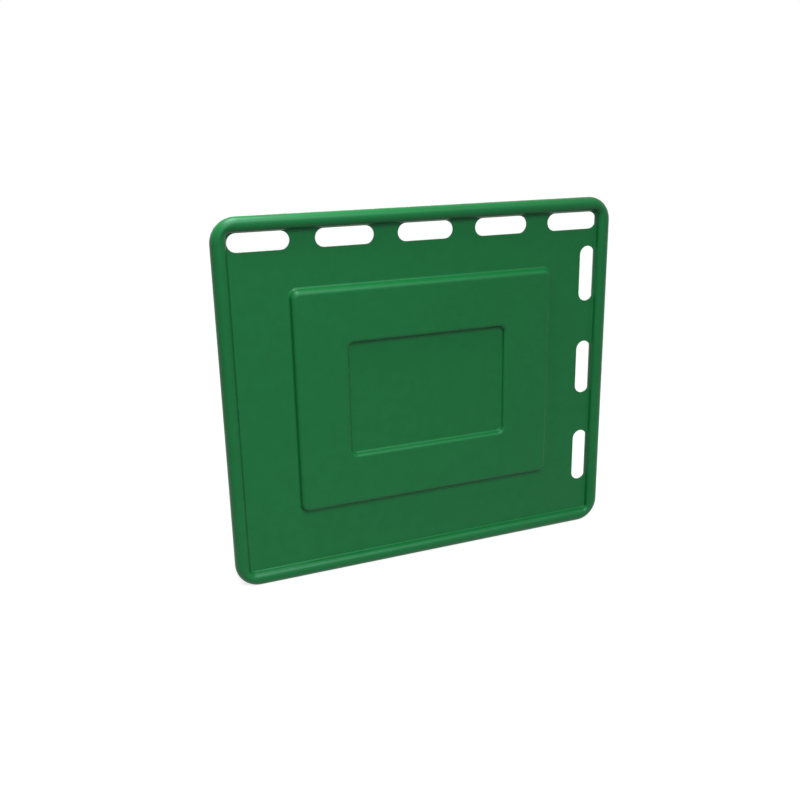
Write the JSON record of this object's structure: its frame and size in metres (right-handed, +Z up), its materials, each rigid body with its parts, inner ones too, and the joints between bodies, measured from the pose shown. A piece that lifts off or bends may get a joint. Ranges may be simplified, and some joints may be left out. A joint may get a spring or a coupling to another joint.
{
  "type": "pig sorting board",
  "caption": "Flat hollow board with a rounded rim, a raised centre panel with a recess, and stadium-shaped hand slots along the top and one side.",
  "frame": {"origin": "middle of the lower edge, in the plane where the two skins meet", "axes": "+X towards the side with the hand slots, +Y to the rear, +Z up"},
  "size_m": [0.875, 0.0316, 0.76],
  "materials": {
    "green_polyethylene": "moulded polyethylene coloured through, fine matt grain",
    "plug_polyethylene": "moulded polyethylene, smooth"
  },
  "bodies": {
    "root": {"front_shell": "green_polyethylene", "rear_shell": "green_polyethylene", "rim_vent_plug": "plug_polyethylene", "panel_vent_plug": "plug_polyethylene"}
  },
  "joints": []
}
